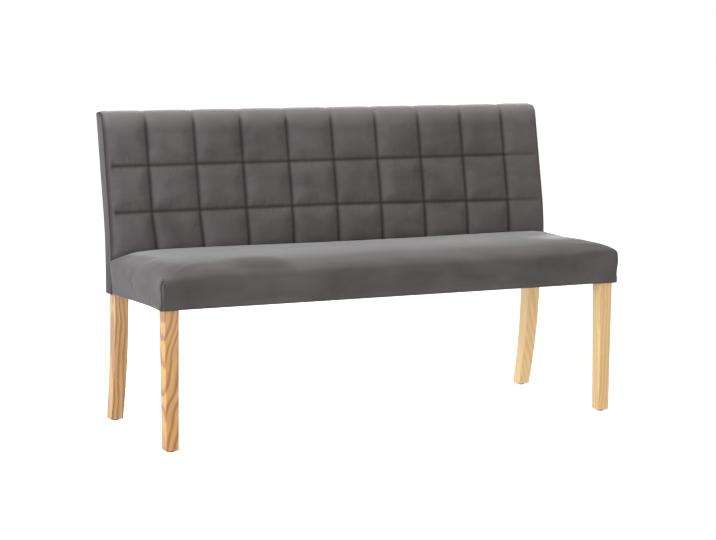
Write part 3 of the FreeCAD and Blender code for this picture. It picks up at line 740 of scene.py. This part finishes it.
for side, word in ((-1, "left"), (1, "right")):
    sideBand = makeBand(side, "sideBand_" + word)
    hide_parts("back_side_band_" + word, "back_side_padding_" + word)
print("stage: side bands made")

# plain rear cover, turned under at the hem round the rear legs
rear = {
    "depth": 0.0534,
    "cloth": 0.0018,
    "inset": 0.0005,
    "lap": 0.002,
    "swell": 0.0015,
    "ripple": (5.0, 6.0),
    "rippleSeed": 0.3,
    "legGap": 0.001,
    "endCells": 1,
    "legCells": 5,
    "middleCells": 140,
    "hemCells": 6,
    "heightCells": 60,
}


def makeRear():
    legLow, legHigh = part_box("rear_leg_right")
    inner, outer = legLow.x - rear["legGap"], legHigh.x + rear["legGap"]
    half = path["half"] - rear["inset"]
    across = stops(-half, (-outer, rear["endCells"]), (-inner, rear["legCells"]),
                   (inner, rear["middleCells"]), (outer, rear["legCells"]), (half, rear["endCells"]))
    bottom = path["hem"] - path["z"]
    height = bendLength + path["crownRun"] + rear["lap"] - bottom
    along = stops(-rear["depth"], (0.0, rear["hemCells"]), (height, rear["heightCells"]))
    bm, spots = gridMesh(across, along)
    rippleX, rippleZ = rear["ripple"]
    for vert, (x, length) in spots.items():
        if length <= 0:
            vert.co = (x, path["y"] + rear["depth"] + length, path["hem"])
            continue
        ripple = noise.noise(Vector((x * rippleX, length * rippleZ, rear["rippleSeed"]))) * 0.5 + 0.5
        swell = rear["swell"] * math.sin(math.pi * length / height) * ripple
        vert.co = behindPath(x, rear["depth"] + swell, bottom + length)
    hole = []
    for face in bm.faces:
        middle = face.calc_center_median()
        if middle.z < path["hem"] + hair and inner < abs(middle.x) < outer:
            hole.append(face)
    bmesh.ops.delete(bm, geom=hole, context="FACES")
    piece = finishPiece("rearCover", bm, velvet)
    thicken(piece, rear["cloth"])
    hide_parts("back_rear_cover")


makeRear()
print("stage: rear cover made")

# crowned seat
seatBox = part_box("seat_cover")
seat = {
    "half": seatBox[1].x,
    "front": seatBox[0].y,
    "rear": seatBox[1].y,
    "hem": seatBox[0].z,
    "top": seatBox[1].z,
    "wall": 0.068,
    "levels": (0.003, 0.008, 0.015, 0.024, 0.034, 0.044, 0.053, 0.060, 0.065),  # rings down the wall
    "cell": 0.0095,
    "nearEdge": (0.002, 0.0045, 0.0075, 0.011, 0.018),
    "bulge": 0.006,
    "draw": 0.002,  # how far the front is drawn in at its middle
    "drawPower": 6,
    "sideRun": 0.090,
    "frontSpread": 0.040,
    "frontReach": 0.15,
    "rearSpread": 0.190,
    "rearReach": 0.17,
    "frontRun": 0.270,
    "rearRun": 0.055,
    "slackLeft": 2.8,  # roundness of the crown at the corners
    "slackRight": 5.5,
    "taut": 3.4,  # and away from them
    "tautRun": 0.26,
    "rearLift": 0.020,
    "liftFrom": 0.03,
    "liftTo": 0.20,
    "corner": 0.012,
    "cornerPush": 0.006,
    "pushRun": 0.10,
    "hemDip": 0.006,
    "dipWidth": 0.02,
    "dipFrom": 0.1,
    "heldHem": 0.012,
    "heldRear": 0.001,
    "seamTop": 0.089,
    "seamSoft": 0.008,
    "seamWidth": 0.0045,
    "seamDepth": 0.0040,
    # painted shade in the corner seams and in the folds beside them
    "seamShade": 0.7,
    "gapeWidth": 0.5,
    "gapeDepth": 0.6,
    "fold": 0.008,
    "foldDrop": 0.030,
    "foldWidth": 0.7,
    "foldDepth": 0.6,
    "foldShade": 0.75,
    # where the crown's painted shade and highlight fade in above the corner seams
    "crownShadeLow": 0.004,
    "crownShadeHigh": 0.018,
    # painted shade along the front roll of the crown
    "frontShade": 0.20,
    "frontShadeFrom": 0.05,
    "frontShadeRun": 0.24,
    "patchCore": 0.2,
    "ragged": 0.25,
    "raggedScale": 9.0,
    "raggedSeed": 0.7,
    # darker patches of painted shade and lighter patches of painted highlight: place across and along, half
    # sizes, strength
    "shadePatches": ((-0.43, -0.22, 0.20, 0.11, 0.55), (0.64, -0.20, 0.24, 0.11, 0.32)),
    "paintedHighlights": ((0.68, -0.06, 0.17, 0.095, 0.8),),
    "sim": {"quality": 5, "mass": 0.3, "stiffness": 18.0, "bending": 2.0, "pressure": 3.0,
            "shrink": -0.003, "frames": 20, "cap": 0.004},
}


# share of the crown at a place: a rounded rise in from each edge, slacker towards the corners
def domeHeight(x, y):
    inX, inFront, inRear = seat["half"] - abs(x), y - seat["front"], seat["rear"] - y
    sideRun = seat["sideRun"] + seat["frontSpread"] * (1 - smoothStep(inFront, 0.0, seat["frontReach"]))
    sideRun += seat["rearSpread"] * (1 - smoothStep(inRear, 0.0, seat["rearReach"]))
    full = smoothStep(inX + inFront, 0.0, seat["tautRun"]) * smoothStep(inX + inRear, 0.0, seat["tautRun"])
    slack = seat["slackLeft"] if x < 0 else seat["slackRight"]
    power = slack + (seat["taut"] - slack) * full
    height = 1.0
    for inset, run in ((inX, sideRun), (inFront, seat["frontRun"]), (inRear, seat["rearRun"])):
        height *= (1 - max(0.0, 1 - max(0.0, inset) / run) ** power) ** (1 / power)
    return height


# places from edge to edge, closer together near both
def edgeStops(start, end):
    near = seat["nearEdge"]
    count = round((end - start - 2 * near[-1]) / seat["cell"])
    inner = stops(start + near[-1], (end - near[-1], count))
    before = [start] + [start + step for step in near[:-1]]
    after = [end - step for step in near[-2::-1]] + [end]
    return before + inner + after


# a square corner turned into a round one, ring by ring
def roundCorner(x, y):
    centreX = seat["half"] - seat["corner"]
    centreY = seat["front"] + seat["corner"]
    overX = abs(x) - centreX
    overY = centreY - y
    if overX <= 0 or overY <= 0:
        return x, y
    reach = max(overX, overY) / math.hypot(overX, overY)
    return math.copysign(centreX + overX * reach, x), centreY - overY * reach


# painted shade on the crown: darker along the front roll and in a few patches, less the patches of painted
# highlight
def crownShadeAndHighlight(x, y):
    scale = seat["raggedScale"]
    ragged = seat["ragged"] * noise.noise(Vector((x * scale, y * scale, seat["raggedSeed"])))

    def patch(placeX, placeY, wide, deep, strength):
        away = math.hypot((x - placeX) / wide, (y - placeY) / deep) + ragged
        return strength * (1 - smoothStep(away, seat["patchCore"], 1.0))

    front = seat["frontShade"] * (1 - smoothStep(y - seat["front"], seat["frontShadeFrom"], seat["frontShadeRun"]))
    # down holds the patches of painted shade, up the patches of painted highlight
    down = [patch(*place) for place in seat["shadePatches"]]
    up = [patch(*place) for place in seat["paintedHighlights"]]
    return max([front] + down) - sum(up)


# upright seams at the two front corners: a groove that opens below the crown, and a small fold beside it,
# both darkened with painted shade
def sewCorners(verts, top):
    centre = Vector((seat["half"] - seat["corner"], seat["front"] + seat["corner"]))
    away = Vector((1, -1)).normalized()
    soft = seat["seamSoft"]
    shades = []
    for vert in verts:
        out = Vector((abs(vert.co.x), vert.co.y)) - centre
        beside = -(out.x + out.y) / math.sqrt(2)
        below = (1 - smoothStep(vert.co.z, top - soft, top + soft)) * (out.dot(away) > 0)
        gape = smoothStep(vert.co.z, top - seat["foldDrop"], top - soft)
        width = seat["seamWidth"] * (1 + seat["gapeWidth"] * gape)
        groove = (1 - smoothStep(abs(beside), 0.0, width)) * below
        width = seat["seamWidth"] * seat["foldWidth"]
        crease = (1 - smoothStep(abs(beside - seat["fold"]), 0.0, width)) * below * gape
        inwards = max(groove * (1 + seat["gapeDepth"] * gape), seat["foldDepth"] * crease)
        inwards *= seat["seamDepth"]
        vert.co.x -= math.copysign(away.x * inwards, vert.co.x)
        vert.co.y -= away.y * inwards
        upper = smoothStep(vert.co.z, top - seat["crownShadeLow"], top + seat["crownShadeHigh"])
        # painted shade in the groove and the fold, under the crown's painted shade and highlight
        grooveShade = seat["seamShade"] + (1 - seat["seamShade"]) * gape
        sewn = max(groove * grooveShade, seat["foldShade"] * crease)
        shade = sewn + (1 - sewn) * upper * crownShadeAndHighlight(vert.co.x, vert.co.y)
        shades.append(shade * (vert.co.z > seat["hem"] + hair))
    return shades


# points and faces in order of place: extruding leaves them in another order each run, which the cloth follows
def inOrder(bm):
    settled = bmesh.new()
    copies = {vert: settled.verts.new(vert.co) for vert in sorted(bm.verts, key=lambda vert: vert.co[:])}
    for face in sorted(bm.faces, key=lambda face: face.calc_center_median()[:]):
        settled.faces.new([copies[vert] for vert in face.verts])
    bm.free()
    return settled


def makeSeat():
    across = edgeStops(-seat["half"], seat["half"])
    along = edgeStops(seat["front"], seat["rear"])
    bm, spots = gridMesh(across, along)
    copies = bmesh.ops.duplicate(bm, geom=bm.verts[:] + bm.edges[:] + bm.faces[:])["vert_map"]
    edgeHeight = seat["hem"] + seat["wall"]
    sideLine = seat["half"] - seat["corner"]
    frontLine = seat["front"] + seat["corner"]
    for vert, (x, y) in spots.items():
        inX = seat["half"] - abs(x)
        shareX = x / seat["half"]
        shareY = 2 * (y - seat["front"]) / (seat["rear"] - seat["front"]) - 1
        roundX, roundY = roundCorner(x, y)
        roundY += seat["draw"] * (1 - shareX ** 2) * max(0.0, -shareY) ** seat["drawPower"]
        away = math.hypot(inX, y - seat["front"])
        push = seat["cornerPush"] * (1 - smoothStep(away, 0.0, seat["pushRun"]))
        roundX += math.copysign(push, x)
        roundY -= push
        lift = seat["rearLift"] * (1 - smoothStep(seat["rear"] - y, seat["liftFrom"], seat["liftTo"]))
        rise = seat["top"] - edgeHeight - lift
        vert.co = (roundX, roundY, edgeHeight + lift + rise * domeHeight(x, y))
        # the underside, drawn in at the hem
        hemX = roundX - math.copysign(seat["bulge"], x) * (abs(roundX) > sideLine)
        hemY = roundY + seat["bulge"] * (roundY < frontLine)
        dip = seat["hemDip"] * max(0.0, 1 - inX / seat["dipWidth"])
        dip *= smoothStep(y, seat["front"] + seat["dipFrom"], seat["rear"])
        copies[vert].co = (hemX, hemY, seat["hem"] - dip)
    rim = [edge for edge in bm.edges if edge.is_boundary and edge.verts[0] in spots]
    hemRim = [edge for edge in bm.edges if edge.is_boundary and edge.verts[0] not in spots]
    depth = 0.0
    for level in seat["levels"]:
        wall = bmesh.ops.extrude_edge_only(bm, edges=rim)["geom"]
        rim = [item for item in wall if isinstance(item, bmesh.types.BMEdge) and item.is_boundary]
        slack = seat["bulge"] * (level - depth) / seat["wall"]
        for vert in {vert for edge in rim for vert in edge.verts}:
            vert.co.z -= (vert.co.z - seat["hem"]) * (level - depth) / (seat["wall"] - depth)
            vert.co.x -= math.copysign(slack, vert.co.x) * (abs(vert.co.x) > sideLine)
            vert.co.y += slack * (vert.co.y < frontLine)
        depth = level
    bmesh.ops.bridge_loops(bm, edges=rim + hemRim)
    piece = finishPiece("seatCushion", inOrder(bm), velvet)
    held = [vert.index for vert in piece.data.vertices
            if vert.co.z < seat["hem"] + seat["heldHem"] or vert.co.y > seat["rear"] - seat["heldRear"]]
    inflate(piece, held, seat["sim"])
    shadeAttribute(piece, sewCorners(piece.data.vertices, seat["hem"] + seat["seamTop"]))
    smooth = piece.modifiers.new("smooth", "SUBSURF")
    smooth.levels = smooth.render_levels = 1
    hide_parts("seat_cover", "seat_wadding", "seat_foam")


makeSeat()
print("stage: seat made")

# dust cover under the seat
dust = {
    "sag": 0.0015,
    "cloth": 0.0006,
    "gap": 0.0002,
    "notch": 0.001,
    "notchCells": 4,
    "acrossCells": 90,
    "alongCells": 30,
}


def makeDust():
    low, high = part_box("seat_dust_cover")
    legLow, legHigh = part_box("front_leg_right")
    notchX = legLow.x - dust["notch"]
    notchY = legHigh.y + dust["notch"]
    width, length = high.x - low.x, high.y - low.y
    across = stops(low.x, (-notchX, dust["notchCells"]), (notchX, dust["acrossCells"]),
                   (high.x, dust["notchCells"]))
    along = stops(low.y, (notchY, dust["notchCells"]), (high.y, dust["alongCells"]))
    bm, spots = gridMesh(across, along)
    for vert, (x, y) in spots.items():
        slack = math.sin(math.pi * (x - low.x) / width) * math.sin(math.pi * (y - low.y) / length)
        vert.co = (x, y, high.z - dust["gap"] - dust["sag"] * slack)
    hole = []
    for face in bm.faces:
        middle = face.calc_center_median()
        if abs(middle.x) > notchX and middle.y < notchY:
            hole.append(face)
    bmesh.ops.delete(bm, geom=hole, context="FACES")
    piece = finishPiece("dustSheet", bm, dustCloth)
    thicken(piece, dust["cloth"])
    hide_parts("seat_dust_cover")


makeDust()
print("stage: dust cover made")

# floor, lights and camera
studio = {
    "floor": (0.5, 0.5, 0.5),
    "floorSize": 40,
    "floorRoughness": 0.9,
    "floorGlow": 0.92,
    "above": 0.20,  # the sky's light on the bench, from overhead and from below
    "below": 0.82,
    "lights": [
        ("key", (-4.4, -1.3, 1.2), 2.6, 300.0, (0.88, 1.0, 1.03)),
        ("top", (1.0, 0.2, 4.0), 2.8, 118.0, (1.0, 0.98, 0.965)),
        ("fill", (1.4, -5.4, 0.9), 2.4, 92.0, (1.0, 0.985, 0.97)),
        ("rim", (0.0, 2.8, 2.9), 2.0, 120.0, (1.0, 0.98, 0.96)),
    ],
    "aim": (0.0, 0.0, 0.5),
}


def makeFloor():
    bm = bmesh.new()
    bmesh.ops.create_grid(bm, x_segments=4, y_segments=4, size=studio["floorSize"])
    mesh = bpy.data.meshes.new("floor")
    bm.to_mesh(mesh)
    bm.free()
    floor = bpy.data.objects.new("floor", mesh)
    scene.collection.objects.link(floor)
    material, tree, shader = newMaterial("paleFloor")
    shader.inputs["Base Color"].default_value = (*studio["floor"], 1)
    shader.inputs["Roughness"].default_value = studio["floorRoughness"]
    shader.inputs["Emission Color"].default_value = (1, 1, 1, 1)
    shader.inputs["Emission Strength"].default_value = studio["floorGlow"]
    mesh.materials.append(material)
    floor.visible_diffuse = False
    floor.visible_glossy = False


def makeLight(name, place, size, power, colour):
    lamp = bpy.data.lights.new(name, "AREA")
    lamp.color = colour
    lamp.size = size
    lamp.energy = power
    light = bpy.data.objects.new(name, lamp)
    scene.collection.objects.link(light)
    light.location = place
    light.rotation_euler = (Vector(studio["aim"]) - Vector(place)).to_track_quat("-Z", "Y").to_euler()


# white behind the bench and in its reflections, and a dimmer light on it
def makeSky(tree):
    link = tree.links.new
    glow = tree.nodes["Background"]
    glow.inputs["Color"].default_value = (1, 1, 1, 1)
    coords = addNode(tree, "ShaderNodeTexCoord")
    split = addNode(tree, "ShaderNodeSeparateXYZ")
    height = addNode(tree, "ShaderNodeMapRange", {"From Min": -1.0, "From Max": 1.0,
                                                  "To Min": studio["below"], "To Max": studio["above"]})
    link(coords.outputs["Generated"], split.inputs[0])
    link(split.outputs["Z"], height.inputs["Value"])
    link(height.outputs["Result"], glow.inputs["Strength"])
    white = addNode(tree, "ShaderNodeBackground", {"Color": (1, 1, 1, 1), "Strength": 1.0})
    seen = addNode(tree, "ShaderNodeLightPath")
    either = addNode(tree, "ShaderNodeMath", operation="MAXIMUM")
    mixed = addNode(tree, "ShaderNodeMixShader")
    link(seen.outputs["Is Camera Ray"], either.inputs[0])
    link(seen.outputs["Is Glossy Ray"], either.inputs[1])
    link(either.outputs[0], mixed.inputs[0])
    link(glow.outputs[0], mixed.inputs[1])
    link(white.outputs[0], mixed.inputs[2])
    link(mixed.outputs[0], tree.nodes["World Output"].inputs["Surface"])


makeFloor()
for values in studio["lights"]:
    makeLight(*values)
world = bpy.data.worlds.new("studio")
world.use_nodes = True
makeSky(world.node_tree)
scene.world = world
scene.view_settings.view_transform = "Standard"

eye = {
    "place": (-2.52694, -5.29794, 1.18514),
    "yaw": 25.419,
    "tilt": -7.187,
    "roll": 0.134,
    "lens": 98.283,
    "sensor": 36.0,
}
lens = bpy.data.cameras.new("photoCamera")
lens.lens = eye["lens"]
lens.sensor_width = eye["sensor"]
lens.sensor_fit = "HORIZONTAL"
camera = bpy.data.objects.new("photoCamera", lens)
scene.collection.objects.link(camera)
yaw = Matrix.Rotation(math.radians(-eye["yaw"]), 4, "Z")
tilt = Matrix.Rotation(math.radians(90 + eye["tilt"]), 4, "X")
roll = Matrix.Rotation(math.radians(eye["roll"]), 4, "Z")
camera.matrix_world = Matrix.Translation(eye["place"]) @ (yaw @ tilt) @ roll
scene.camera = camera
print("stage: studio and camera set")
